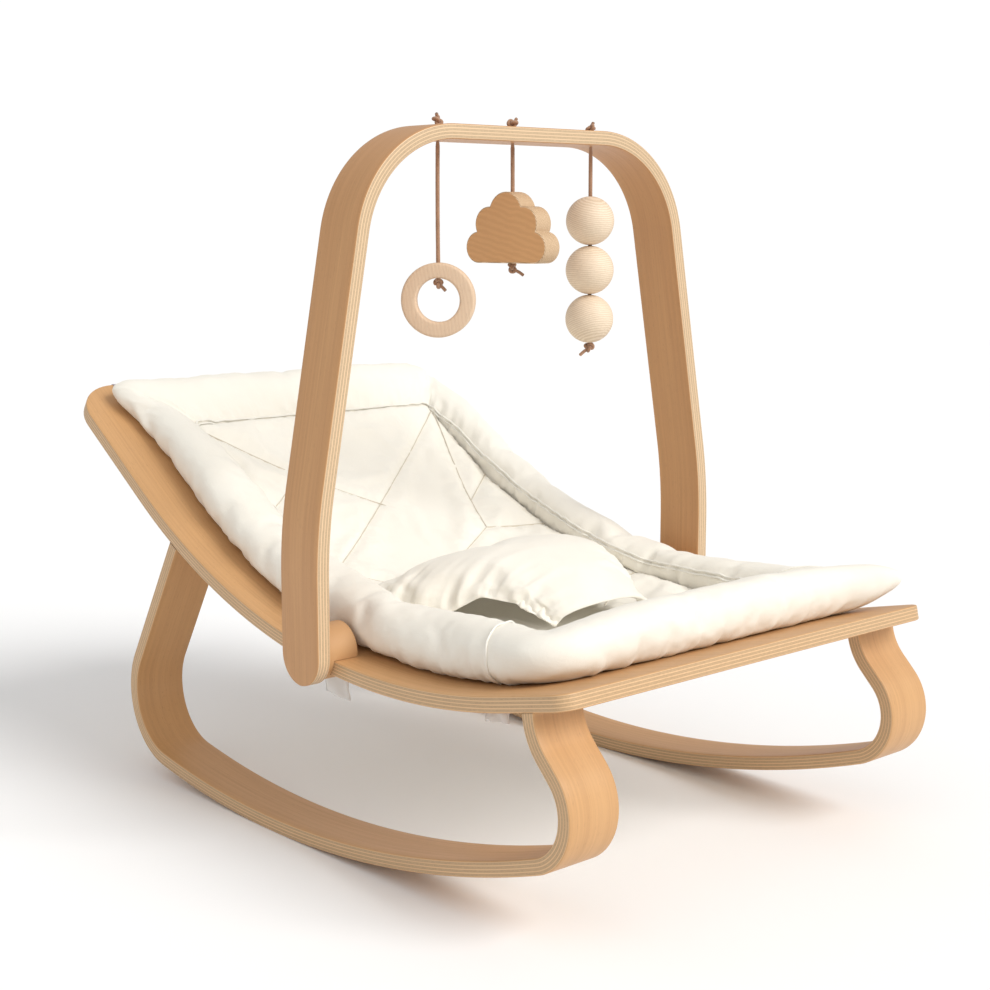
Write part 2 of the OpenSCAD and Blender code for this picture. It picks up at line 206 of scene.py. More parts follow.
def shell_faces(n, m):
    """Faces of two n by m sheets of points, one after the other, joined round their edges."""
    count = n * m
    faces = grid_faces(n, m) + [[i + count for i in f][::-1] for f in grid_faces(n, m)]
    edge = [*range(m), *range(2 * m - 1, count, m), *range(count - 2, count - m - 1, -1),
            *range((n - 2) * m, 0, -m)]
    return faces + [[a, b, b + count, a + count] for a, b in zip(edge, edge[1:] + edge[:1])]


def rounded_section(half, depth, r):
    """A closed outline (x, d): a strip 2 * half wide and depth thick with rounded edges."""
    pts = []
    for cx, cd, a0 in [(half - r, depth - r, 0), (r - half, depth - r, 90),
                       (r - half, r, 180), (half - r, r, 270)]:
        pts += arc(cx, cd, r, a0, a0 + 90, 5)
        if a0 in (0, 180):
            pts += [(x, depth if a0 == 0 else 0.0) for x in np.linspace(cx, -cx, 7)[1:-1]]
    return np.array(pts)


def lathe(profile, n):
    """A closed profile of (radius, height) turned about Z: points and faces."""
    a = np.linspace(0, 2 * math.pi, n, endpoint=False)
    p = np.array(profile)
    v = np.stack([np.outer(np.cos(a), p[:, 0]), np.outer(np.sin(a), p[:, 0]),
                  np.tile(p[:, 1], (n, 1))], -1).reshape(-1, 3)
    return v, grid_faces(n, len(p), True, True)


def arc(cx, cy, r, a0, a1, n):
    a = np.radians(np.linspace(a0, a1, n))
    return list(zip(cx + r * np.cos(a), cy + r * np.sin(a)))


def unit(v):
    """Rows of v brought to length one."""
    return v / np.maximum(np.linalg.norm(v, axis=1, keepdims=True), 1e-12)


def lengths(p):
    """How far along a line each of its points lies."""
    return np.concatenate([[0], np.cumsum(np.linalg.norm(np.diff(p, axis=0), axis=1))])


# ---- camera ----------------------------------
def make_camera():
    cam = bpy.data.objects.new("camera", bpy.data.cameras.new("camera"))
    cam.data.lens, cam.data.sensor_width = CAMERA_LENS, CAMERA_SENSOR
    cam.data.clip_start, cam.data.clip_end = 0.05, 60
    cam.location = CAMERA_AT
    cam.rotation_euler = (math.radians(90 - CAMERA_DOWN), 0, math.radians(CAMERA_TURN))
    bpy.context.scene.collection.objects.link(cam)
    bpy.context.scene.camera = cam


# ---- materials -------------------------------
class Shader:
    """Builds one procedural material out of nodes."""

    def __init__(self, name):
        self.mat = bpy.data.materials.new(name)
        self.mat.use_nodes = True
        self.tree = self.mat.node_tree
        self.bsdf = self.tree.nodes["Principled BSDF"]

    def put(self, socket, value):
        if isinstance(value, bpy.types.NodeSocket):
            self.tree.links.new(value, socket)
        else:
            socket.default_value = value

    def node(self, kind, *args, out=0, props=None, **inputs):
        node = self.tree.nodes.new("ShaderNode" + kind)
        for key, value in (props or {}).items():
            setattr(node, key, value)
        for i, value in enumerate(args):
            self.put(node.inputs[i], value)
        for key, value in inputs.items():
            self.put(node.inputs[key.replace("_", " ")], value)
        return node.outputs[out]

    def math(self, op, *args):
        return self.node("Math", *args, props={"operation": op})

    def times(self, a, b):
        return self.math("MULTIPLY", a, b)

    def scaled(self, vector, *scale):
        return self.node("Mapping", vector, Scale=scale)

    def noise(self, vector, scale=1.0, detail=3.0, rough=0.5, distort=0.0):
        return self.node("TexNoise", Vector=vector, Scale=scale, Detail=detail,
                         Roughness=rough, Distortion=distort)

    def span(self, value, a, b, c=0.0, d=1.0):
        """value's range a..b brought to c..d, clamped."""
        return self.node("MapRange", value, a, b, c, d)

    def mix(self, fac, a, b):
        node = self.tree.nodes.new("ShaderNodeMix")
        node.data_type = "RGBA"
        for i, value in ((0, fac), (6, a), (7, b)):
            if isinstance(value, tuple):
                value = (*value, 1)
            self.put(node.inputs[i], value)
        return node.outputs[2]

    def grain(self):
        return self.node("Attribute", out=1, props={"attribute_name": "grain"})

    def bump(self, height, strength, distance):
        return self.node("Bump", Strength=strength, Distance=distance, Height=height)

    def finish(self, colour, rough, normal=None, **fixed):
        fixed.update(Base_Color=colour, Roughness=rough)
        if normal is not None:
            fixed["Normal"] = normal
        for key, value in fixed.items():
            self.put(self.bsdf.inputs[key.replace("_", " ")], value)
        return self.mat


def dim(colour, k):
    return tuple(c * k for c in colour)


def ply_material(name, light, dark, edge):
    """Lacquered beech plywood.  grain is (along the strip, across it, depth)."""
    sh = Shader(name)
    g = sh.grain()
    depth = sh.node("SeparateXYZ", g, out=2)
    veneer = PLY / VENEERS
    d = sh.math("MINIMUM", sh.math("MAXIMUM", depth, 0.03 * MM), PLY - 0.03 * MM)
    steps = sh.math("DIVIDE", d, veneer)
    layer = sh.math("FLOOR", steps)
    part = sh.math("SUBTRACT", steps, layer)
    cross = sh.math("MODULO", layer, 2.0)
    # every layer shows another part of the grain
    shift = sh.node("CombineXYZ", sh.times(layer, 0.37), sh.times(layer, 0.11), 0.0)
    shifted = sh.node("VectorMath", g, shift, props={"operation": "ADD"})
    broad = sh.noise(sh.scaled(shifted, 1.6, 26, 40), 1, 3, 0.55, 0.6)
    streak = sh.noise(sh.scaled(shifted, 7, 420, 420), 1, 4, 0.6, 0.3)
    fine = sh.noise(sh.scaled(shifted, 60, 2600, 2600), 1, 2, 0.5)
    fleck = sh.span(sh.noise(sh.scaled(shifted, 170, 1500, 1500), 1, 1, 0.5), 0.66, 0.74)
    face = sh.mix(sh.span(broad, 0.3, 0.7), dark, light)
    face = sh.mix(sh.span(streak, 0.35, 0.7, 0.0, 0.45), face, dim(dark, 0.80))
    face = sh.mix(sh.times(fleck, 0.35), face, dim(dark, 0.55))
    # sawn edges are paler than the faces; layers that show their ends are darker and mottled
    ends = sh.noise(sh.scaled(g, 900, 900, 900), 1, 3, 0.6)
    end_colour = sh.mix(sh.span(ends, 0.3, 0.7), dim(edge, 0.62), dim(edge, 0.80))
    side_colour = sh.mix(sh.span(streak, 0.35, 0.7), edge, dim(edge, 0.86))
    near = sh.math("MINIMUM", part, sh.math("SUBTRACT", 1.0, part))
    inside = sh.times(sh.math("GREATER_THAN", depth, veneer * 0.5),
                      sh.math("LESS_THAN", depth, PLY - veneer * 0.5))
    colour = sh.mix(inside, face, sh.mix(cross, side_colour, end_colour))
    glue = sh.times(sh.span(near, 0.04, 0.11, 1.0, 0.0), inside)
    colour = sh.mix(sh.times(glue, 0.45), colour, (0.10, 0.045, 0.02))
    height = sh.math("ADD", sh.times(fine, 0.3), sh.times(glue, -1.5))
    height = sh.math("ADD", sh.times(streak, 0.6), height)
    rough = sh.span(streak, 0.2, 0.8, 0.42, 0.54)
    return sh.finish(colour, rough, sh.bump(height, 0.25, 0.15 * MM),
                     Specular_IOR_Level=0.4, Coat_Weight=0.12, Coat_Roughness=0.3)


def solid_wood(name, light, dark, rings=1.0, ridges=0.0, plain=0.0):
    """Plain turned or sawn wood.  grain is a place in the piece, with its grain along X."""
    sh = Shader(name)
    g = sh.grain()
    wave = sh.node("TexNoise", Vector=g, Scale=30.0, Detail=2.0, out=1)
    wave = sh.node("VectorMath", wave, (0.5, 0.5, 0.5), props={"operation": "SUBTRACT"})
    wavy = sh.node("VectorMath", g, wave, props={"operation": "ADD"})
    bent = sh.mix(0.0035, g, wavy)
    year = sh.node("TexWave", Vector=sh.scaled(bent, 30, 330 * rings, 120 * rings), Scale=1.0,
                   Distortion=2.2, Detail=3.0, Detail_Scale=1.5, out=1,
                   props={"bands_direction": "DIAGONAL"})
    streak = sh.noise(sh.scaled(g, 60, 1500, 1500), 1, 4, 0.6)
    pore = sh.span(sh.noise(sh.scaled(g, 300, 3200, 3200), 1, 1, 0.5), 0.63, 0.72)
    colour = sh.mix(sh.span(year, 0.15, 0.85), dark, light)
    colour = sh.mix(sh.span(streak, 0.35, 0.75, 0.0, 0.4), colour, dim(dark, 0.8))
    colour = sh.mix(sh.times(pore, 0.4), colour, dim(dark, 0.5))
    colour = sh.mix(plain, colour, light)
    height = sh.math("ADD", sh.times(streak, 0.5), sh.times(year, ridges))
    return sh.finish(colour, 0.55, sh.bump(height, 0.3, 0.25 * MM), Specular_IOR_Level=0.35)


def cloth_material(name, light, shade):
    """Woven cotton, its tone a little warmer in random blotches."""
    sh = Shader(name)
    where = sh.node("TexCoord", out=3)
    blotch = sh.noise(where, 14, 3, 0.6)
    warp, weft = [sh.node("TexWave", Vector=sh.scaled(where, *weave), Scale=1.0, Distortion=0.6,
                          Detail=1.0, out=1, props={"bands_direction": way})
                  for way, weave in (("X", (1900, 1900, 380)), ("Z", (380, 1900, 1900)))]
    thread = sh.times(warp, weft)
    colour = sh.mix(sh.span(blotch, 0.3, 0.7), light, shade)
    crease = sh.noise(where, 55, 5, 0.62, 0.8)
    height = sh.math("ADD", sh.times(thread, 0.05), crease)
    return sh.finish(colour, 0.9, sh.bump(height, 0.35, 1.6 * MM), Sheen_Weight=0.25,
                     Sheen_Roughness=0.5, Specular_IOR_Level=0.2)


def cord_material(name):
    """Brown suede lace."""
    sh = Shader(name)
    g = sh.node("TexCoord", out=3)
    nap = sh.noise(g, 900, 4, 0.65)
    blotch = sh.noise(g, 120, 2, 0.5)
    colour = sh.mix(sh.span(blotch, 0.3, 0.7), (0.30, 0.155, 0.085), (0.40, 0.22, 0.13))
    colour = sh.mix(sh.span(nap, 0.4, 0.75, 0.0, 0.4), colour, (0.50, 0.32, 0.21))
    return sh.finish(colour, 0.95, sh.bump(nap, 0.6, 0.4 * MM), Sheen_Weight=0.4,
                     Sheen_Roughness=0.6, Specular_IOR_Level=0.15)


def steel_material(name):
    sh = Shader(name)
    streak = sh.noise(sh.scaled(sh.node("TexCoord", out=3), 300, 3000, 3000), 1, 3, 0.6)
    return sh.finish((0.62, 0.62, 0.63, 1), sh.span(streak, 0.3, 0.7, 0.28, 0.4),
                     sh.bump(streak, 0.15, 0.05 * MM), Metallic=1.0)


# ---- plywood parts ---------------------------
def strip(name, widths, point, material):
    """A bent strip: one closed section per width.  point(i, x, d) gives its points."""
    verts, grain = [], []
    for i, w in enumerate(widths):
        sec = rounded_section(w, PLY, min(EDGE, 0.9 * w))
        pos, along = point(i, sec[:, 0], sec[:, 1])
        verts.append(pos)
        grain.append(np.column_stack([along, sec[:, 0], sec[:, 1]]))
    faces = tube_faces(len(widths), len(verts[0]))
    return new_object(name, np.vstack(verts), faces, material, np.vstack(grain))


def make_rocker(name, side, material):
    """One bent strip whose two ends are cut to the underside of the seat frame."""
    def end(d, s0, s1):
        for _ in range(40):
            mid = (s0 + s1) / 2
            y, z = ROCK.lift([mid], d)[0]
            if z < seat_z(y):
                s0 = mid
            else:
                s1 = mid
        return (s0 + s1) / 2

    bend_f = -ROCK.front.parts[3][0]      # where the front leg's upper bend begins
    depths = np.linspace(0, PLY, 9)
    head_end = [end(d, ROCK.rear.length - 0.12, ROCK.rear.length) for d in depths]
    foot_end = [end(d, bend_f, -ROCK.front.length - 0.03) for d in depths]
    n = 330
    t = np.linspace(0, 1, n)

    def point(i, x, d):
        hi, lo = np.interp(d, depths, head_end), np.interp(d, depths, foot_end)
        s = lo + (hi - lo) * t[i]
        yz = ROCK.lift(s, d)
        return np.column_stack([side * ROCKER_X + x, yz]), s

    return strip(name, [STRIP / 2] * n, point, material)


def make_arch(material):
    """The arch: up one side, over and down, with both feet rounded."""
    half, lean, sway, rise, corner = 233 * MM, 10.5, 420 * MM, 86 * MM, 104 * MM
    foot = PIVOT_Z - STRIP / 2
    a = math.radians(lean)
    end_x, end_z = half - sway * (1 - math.cos(a)), foot + rise + sway * math.sin(a)
    leg = (ARCH_TOP - corner + corner * math.sin(a) - end_z) / math.cos(a)
    bar = 2 * (end_x - leg * math.sin(a) - corner * math.cos(a))
    steps = [(rise, 0), (sway, lean), (leg, 0), (corner, 90 - lean), (bar, 0),
             (corner, 90 - lean), (leg, 0), (sway, lean), (rise, 0)]
    path = Path((half, foot), 90, steps)
    r = STRIP / 2
    nose = r * (1 - np.cos(np.linspace(0, math.pi / 2, 16)))
    s = np.concatenate([nose, np.linspace(r, path.length - r, 300)[1:-1],
                        (path.length - nose)[::-1]])
    gap = np.minimum(s, path.length - s)
    widths = np.where(gap < r, np.sqrt(np.maximum(r * r - (r - gap) ** 2, 0)), r)

    def point(i, w, d):
        p, h = path.at([s[i]])
        x = p[0, 0] - d * math.sin(h[0])
        z = p[0, 1] + d * math.cos(h[0])
        return np.column_stack([x, ARCH_Y + w, z]), np.full(len(d), s[i])

    return strip("toy_arch", np.maximum(widths, 0.3 * MM), point, material)


def outline(x0, x1, y0, y1, corners, sides, n=14):
    """A closed loop with four rounded corners and the same number of points per part."""
    pts = []
    spots = [(x1, y1, -1, -1, 0), (x0, y1, 1, -1, 90), (x0, y0, 1, 1, 180), (x1, y0, -1, 1, 270)]
    for k, (cx, cy, ax, ay, a0) in enumerate(spots):
        r = corners[k]
        pts += arc(cx + ax * r, cy + ay * r, r, a0, a0 + 90, n)
        nx, ny, bx, by, b0 = spots[(k + 1) % 4]
        q = corners[(k + 1) % 4]
        start = np.array(pts[-1])
        stop = np.array(arc(nx + bx * q, ny + by * q, q, b0, b0 + 90, 2)[0])
        for j in range(1, sides[k]):
            pts.append(tuple(start + (stop - start) * j / sides[k]))
    return np.array(pts)


def make_seat_frame(material):
    """A bent sheet with rounded corners and a large rounded opening."""
    s0, s1 = -SEAT.front.length, SEAT.rear.length
    sides = [40, 120, 40, 120]
    outer = outline(-SEAT_HALF, SEAT_HALF, s0, s1,
                    [HEAD_CORNER, HEAD_CORNER, FOOT_CORNER, FOOT_CORNER], sides)
    hx, hy, hr = HOLE
    inner = outline(-hx, hx, seat_s(-hy), seat_s(hy), [hr] * 4, sides)
    way = inner - outer
    dist = np.linalg.norm(way, axis=1, keepdims=True)
    way = way / dist
    r, loops, depths = EDGE, [], []
    quarter = np.radians(np.linspace(0, 90, 5))
    for k in quarter:                      # outer edge, from its middle up to the top
        loops.append(outer + way * r * (1 - math.cos(k)))
        depths.append(PLY - r + r * math.sin(k))
    for t in np.linspace(0, 1, 12)[1:-1]:
        loops.append(outer + way * (r + (dist - 2 * r) * t))
        depths.append(PLY)
    for k in quarter[::-1]:
        loops.append(inner - way * r * (1 - math.cos(k)))
        depths.append(PLY - r + r * math.sin(k))
    loops, depths = loops + loops[::-1], depths + [PLY - d for d in depths[::-1]]
    verts, grain = [], []
    for loop, d in zip(loops, depths):
        yz = SEAT.lift(loop[:, 1], np.full(len(loop), d))
        verts.append(np.column_stack([loop[:, 0], yz]))
        grain.append(np.column_stack([loop[:, 1], loop[:, 0], np.full(len(loop), d)]))
    faces = grid_faces(len(loops), len(outer), True, True)
    return new_object("seat_frame_ply", np.vstack(verts), [f[::-1] for f in faces], material,
                      np.vstack(grain))


# ---- toys ------------------------------------
def place_toy(verts, toy, up=0):
    """Local points (the cord's hole along Z) to their place under the arch bar."""
    turn = np.array(Matrix.Rotation(math.radians(TOY_TURN[toy]), 3, "Z"))
    return verts @ turn.T + [TOY_X[toy], ARCH_Y, TOY_Z[toy] + up]


def make_ring(material):
    outer, inner, half, r = 31.2 * MM, 18.3 * MM, 6.5 * MM, 2.2 * MM
    spots = [(outer - r, half - r), (inner + r, half - r), (inner + r, r - half),
             (outer - r, r - half)]
    profile = sum([arc(x, y, r, 90 * k, 90 * k + 90, 9) for k, (x, y) in enumerate(spots)], [])
    v, faces = lathe(profile, 128)
    v = v[:, [0, 2, 1]] * [1, -1, 1]       # its axis lies along Y before it is turned
    return new_object("ring_wood", place_toy(v, "ring"), faces, material, v[:, [2, 0, 1]])


def cloud_outline():
    """Five lobes over a flat base, as (x, z) in metres round the edge."""
    lobes = [(31, -17, 13.5), (20, 3, 15), (0, 12, 18.5), (-19, 3, 15), (-31, -17, 13.5)]
    meets = []
    for (x0, z0, r0), (x1, z1, r1) in zip(lobes, lobes[1:]):
        d = math.hypot(x1 - x0, z1 - z0)
        a = (r0 * r0 - r1 * r1 + d * d) / (2 * d)
        h = math.sqrt(r0 * r0 - a * a)
        ux, uz = (x1 - x0) / d, (z1 - z0) / d
        both = [(x0 + a * ux + k * h * uz, z0 + a * uz - k * h * ux) for k in (1, -1)]
        meets.append(max(both, key=lambda p: math.hypot(p[0], p[1] + 8)))
    pts = []
    for k, (cx, cz, r) in enumerate(lobes):
        first = (cx, cz - r) if k == 0 else meets[k - 1]
        last = (cx, cz - r) if k == len(lobes) - 1 else meets[k]
        a0 = math.degrees(math.atan2(first[1] - cz, first[0] - cx))
        a1 = math.degrees(math.atan2(last[1] - cz, last[0] - cx))
        a1 += 360 * (a1 < a0)
        n = max(5, int((a1 - a0) * r * 0.01745 / 1.2))
        pts += arc(cx, cz, r, a0, a1, n)[(1 if k else 0):]
    base = [(x, -30.5) for x in np.linspace(-31, 31, 24)[1:-1]]
    return np.array(pts + base) * MM


def make_cloud(face, rim):
    edge = cloud_outline()
    half, r = 10 * MM, 1.0 * MM
    side = np.roll(edge, -1, 0) - np.roll(edge, 1, 0)
    out = unit(side[:, ::-1] * [1, -1])
    quarter = np.radians(np.linspace(0, 90, 5))
    loops = [(r * (1 - math.cos(a)), r - half - r * math.sin(a)) for a in quarter[::-1]]
    loops += [(0, y) for y in np.linspace(r - half, half - r, 12)[1:-1]]
    loops += [(r * (1 - math.cos(a)), half - r + r * math.sin(a)) for a in quarter]
    v = np.vstack([np.insert(edge - out * inset, 1, y, axis=1) for inset, y in loops])
    faces = [f[::-1] for f in tube_faces(len(loops), len(edge))]
    obj = new_object("cloud_wood", place_toy(v, "cloud"), faces, rim, v)
    obj.data.materials.append(face)
    for flat in list(obj.data.polygons)[-2:]:
        flat.use_smooth = False
        flat.material_index = 1
    return obj


def make_bead(name, up, seed, material):
    """A turned bead with a bore, its edges slightly broken."""
    r, bore, ease = 21.75 * MM, 2.4 * MM, 0.7 * MM
    lip = math.degrees(math.asin((bore + ease) / r))
    top = math.sqrt(r * r - (bore + ease) ** 2)
    profile = arc(0, 0, r, -90 + lip, 90 - lip, 64)
    profile += [(bore + 0.3 * ease, top - 0.15 * ease), (bore, top - ease), (bore, 0),
                (bore, ease - top), (bore + 0.3 * ease, 0.15 * ease - top)]
    v, faces = lathe(profile, 96)
    rnd = random.Random(seed)
    tilt = Matrix.Rotation(rnd.uniform(0.9, 1.5), 3, "Y")
    tilt = tilt @ Matrix.Rotation(rnd.uniform(0, 3), 3, "Z")
    g = v @ np.array(tilt) + rnd.uniform(0, 0.5)
    return new_object(name, place_toy(v, "bead", up), faces, material, g)


# ---- cords and knots -------------------------
def tube_mesh(path, radius, sides=12, start=0):
    """The points and faces of a round tube along a path, its ends slightly rounded."""
    p = np.array(path, float)
    t = unit(np.gradient(p, axis=0))
    up = np.array([0.35, 0.9, 0.2])
    n = up - t[0] * (up @ t[0])
    verts = []
    for i in range(len(p)):
        n = n - t[i] * (n @ t[i])
        n /= np.linalg.norm(n)
        b = np.cross(t[i], n)
        r = radius * (0.72 if i in (0, len(p) - 1) else 1.0)
        r *= 1 + 0.05 * noise.noise(Vector(p[i] * 500))
        a = np.linspace(0, 2 * math.pi, sides, endpoint=False)[:, None]
        verts.append(p[i] + r * (np.cos(a) * n + np.sin(a) * b))
    return np.vstack(verts), [[i + start for i in f] for f in tube_faces(len(p), sides)]


def tube(name, path, radius, material, sides=12):
    return new_object(name, *tube_mesh(path, radius, sides), material)


def smooth_path(points, n):
    """A smooth line through points, as n even steps."""
    p = np.array(points, float)
    q = np.vstack([2 * p[0] - p[1], p, 2 * p[-1] - p[-2]])
    out = []
    for i in range(1, len(q) - 2):
        a, b, c, d = q[i - 1:i + 3]
        for t in np.linspace(0, 1, 12, endpoint=False):
            out.append(0.5 * (2 * b + (c - a) * t + (2 * a - 5 * b + 4 * c - d) * t * t
                              + (3 * b - a - 3 * c + d) * t ** 3))
    out = np.array(out + [p[-1]])
    length = lengths(out)
    at = np.linspace(0, length[-1], n)
    return np.column_stack([np.interp(at, length, out[:, k]) for k in range(p.shape[1])])


def make_knot(name, place, size, lead, tail, tilt, spin, material):
    """An overhand knot about a place: in along lead, round, and out along tail."""
    t = np.linspace(0.35, 2 * math.pi - 0.05, 22)
    loop = np.column_stack([np.sin(t) + 2 * np.sin(2 * t), np.cos(t) - 2 * np.cos(2 * t),
                            -1.25 * np.sin(3 * t)]) * size / 3
    turn = np.array(Matrix.Rotation(spin, 3, "Z") @ Matrix.Rotation(tilt, 3, "X"))
    path = smooth_path(np.vstack([lead, loop @ turn.T, tail]), 110) + place
    return tube(name, path, 0.82 * CORD / 2, material, 10)


def make_cords(material):
    """Each toy's cord, the knot on the arch and the knot under the toy."""
    looks = {"ring": (0.9, 0.4, (-3.5, -2.5, 7.2), (3.5, -3.5, -5.5)),
             "cloud": (1.1, 2.3, (4.5, -2.0, 6.5), (6.5, -4.5, -5.5)),
             "bead": (0.6, 4.0, (1.0, -3.0, 7.0), (-6.5, 3.0, -6.0))}
    for toy, (tilt, spin, top_tail, low_tail) in looks.items():
        x, end = TOY_X[toy], CORD_END[toy]
        rnd = random.Random(toy)
        n = 24
        z = np.linspace(BAR_UNDER, end, n)
        sway = 0.35 * MM * np.sin(np.linspace(0, math.pi, n))
        path = np.column_stack([x + sway * rnd.choice((-1, 1)), ARCH_Y + 0.4 * sway, z])
        cord = tube(toy + "_lace", path, CORD / 2, material)
        top = make_knot(toy + "_top_knot", (x, ARCH_Y, ARCH_TOP + 3.4 * MM), 4.0 * MM,
                        [(0, 0, -16 * MM), (0, 0, -5 * MM)],
                        np.outer([0.6, 0.8], top_tail) * MM, tilt, spin, material)
        low = make_knot(toy + "_low_knot", (x, ARCH_Y, end - 2.8 * MM), 3.9 * MM,
                        [(0, 0, 6 * MM), (0, 0, 3.5 * MM)],
                        np.outer([0.7, 1.25], low_tail) * MM, tilt + 0.6, spin + 1.0,
                        material)
        add(cord, toy + "_line", [toy + "_cord"])
        add(top, "arch", [toy + "_hanger_knot"])
        add(low, "bead_line" if toy == "bead" else toy, [toy + "_end_knot"])


# ---- soft parts ------------------------------
FRAMES = 16                   # length of the cloth run that shapes each soft piece
CLOTH = dict(quality=5, mass=0.3, air_damping=4, tension_stiffness=14, compression_stiffness=14,
             shear_stiffness=5.6, bending_stiffness=0.6, tension_damping=8,
             compression_damping=8, use_pressure=True, vertex_group_mass="pin")


def inflate(obj, pinned, pressure, grow, limit=14 * MM):
    """Blows a sewn shape up as cloth, held at its seams, and keeps the result."""
    scene = bpy.context.scene
    start = np.array([v.co for v in obj.data.vertices])
    obj.vertex_groups.new(name="pin").add([int(i) for i in pinned], 1.0, "REPLACE")
    mod = obj.modifiers.new("cloth", "CLOTH")
    for key, value in CLOTH.items():
        setattr(mod.settings, key, value)
    mod.settings.uniform_pressure_force, mod.settings.shrink_min = pressure, -grow
    mod.settings.effector_weights.gravity = 0
    mod.collision_settings.use_collision = False
    mod.point_cache.frame_start, mod.point_cache.frame_end = 1, FRAMES
    for frame in range(1, FRAMES + 1):
        scene.frame_set(frame)
    done = obj.evaluated_get(bpy.context.evaluated_depsgraph_get())
    end = np.array([v.co for v in done.data.vertices])
    obj.modifiers.clear()
    obj.vertex_groups.clear()
    scene.frame_set(1)
    move = end - start
    far = np.linalg.norm(move, axis=1, keepdims=True)
    move *= np.minimum(1, limit / np.maximum(far, 1e-9))
    obj.data.vertices.foreach_set("co", (start + move).astype(np.float32).ravel())
    obj.data.update()


def float_layer(obj, name, values):
    a = obj.data.attributes.new(name, "FLOAT", "POINT")
    a.data.foreach_set("value", np.asarray(values, np.float32))


def refine(obj):
    """Subdivides a piece for good, its float layers with it."""
    mod = obj.modifiers.new("sub", "SUBSURF")
    mod.levels = mod.render_levels = 1
    done = obj.evaluated_get(bpy.context.evaluated_depsgraph_get())
    mesh = bpy.data.meshes.new_from_object(done)
    obj.modifiers.clear()
    obj.data = mesh
    return obj


def pucker(obj, depth, reach, seed):
    """Small gathers that run away from a seam: layer "seam" is the distance to it and
    layer "along" the length along it."""
    mesh = obj.data
    n = len(mesh.vertices)
    far, along = np.zeros(n, np.float32), np.zeros(n, np.float32)
    mesh.attributes["seam"].data.foreach_get("value", far)
    mesh.attributes["along"].data.foreach_get("value", along)
    co, normal = np.zeros(n * 3, np.float32), np.zeros(n * 3, np.float32)
    mesh.vertices.foreach_get("co", co)
    mesh.vertex_normals.foreach_get("vector", normal)
    co, normal = co.reshape(-1, 3), normal.reshape(-1, 3)
    rows = []
    for d, a in zip(far, along):
        if d > reach * 3:
            rows.append(0.0)
            continue
        w = noise.noise(Vector((a / GATHER, d / (4 * GATHER), seed)))
        w += 0.5 * noise.noise(Vector((a / GATHER * 2.3, d / (3 * GATHER), seed + 7)))
        rows.append(w * math.exp(-(d / reach) ** 1.5) * min(1.0, d / (3 * MM)))
    co = co + normal * (np.array(rows)[:, None] * depth * 2)
    mesh.vertices.foreach_set("co", co.astype(np.float32).ravel())
    mesh.update()


# the seam line and the outer contact line of the border, as places (x, s) on the seat; the
# cushion lies a little towards the baby's left (+X)
SEAM_X, SEAM_S = (-139 * MM, 159 * MM), seat_s([-254 * MM, 265 * MM])
OUTER_X, OUTER_S = (-184 * MM, 197 * MM), seat_s([-303 * MM, 322 * MM])
OUTER_CORNERS = [22 * MM, 12 * MM, 42 * MM, 10 * MM]
# two corners of the border that are drawn out: their reach and their pull
FOOT_TIP = (26 * MM, np.array([13, -24]) * MM)
SHOULDER = (38 * MM, np.array([-12, 3]) * MM)
TAPER, TAPER_FROM, TAPER_OVER = 0.055, 50 * MM, 330 * MM
BORDER_Y = [-0.30, -0.2, 0.2, 0.26, 0.315]             # border heights from foot to head
BORDER_HEIGHT = [41, 45, 45, 41, 28]                   # millimetres
BOWL = 7 * MM                 # how far the panel's middle lies below its seam
PUFF = 9 * MM                 # height of the quilting between its stitches
STITCH_LIFT, STITCH = 1.3 * MM, 0.6 * MM               # the thread's height and radius
GATHER = 9 * MM               # length of one gather along a seam


def cushion_taper(x, s):
    """The cushion narrows on one side towards the head."""
    return np.where(x < 0, 1 - TAPER * np.clip((s - TAPER_FROM) / TAPER_OVER, 0, 1), 1.0)


def border_section(width, height, seam_h, power, lift, n):
    """The border's closed section (t across from the seam, h up) and which points are held."""
    pts, held = [], []
    for k in range(n):
        a = 2 * math.pi * k / n + math.radians(198)
        c, s = math.cos(a), math.sin(a)
        t = width * 0.5 + (width * 0.5 + 4 * MM) * math.copysign(abs(c) ** power, c)
        h = height * 0.5 * (1 + math.copysign(abs(s) ** power, s))
        h += lift * max(0.0, t / width) ** 2 * (1 - h / height)
        pts.append((t, max(h, 0.4 * MM)))
        held.append(h < 0.13 * height)
    seam = min(range(n), key=lambda k: math.hypot(pts[k][0], pts[k][1] - seam_h)
               + (1 if pts[k][0] > width * 0.3 else 0))
    pts[seam] = (0.0, seam_h)
    held[seam] = True
    return np.array(pts), np.array(held), seam


def border_loops():
    """Matching points of the seam loop and the outer loop, going round from the head's left."""
    sides = [52, 92, 52, 92]
    inner = outline(*SEAM_X, *SEAM_S, [6 * MM] * 4, sides, 9)
    outer = outline(*OUTER_X, *OUTER_S, OUTER_CORNERS, sides, 9)
    for loop in (inner, outer):
        loop[:, 0] *= cushion_taper(loop[:, 0], loop[:, 1])
    return inner, outer


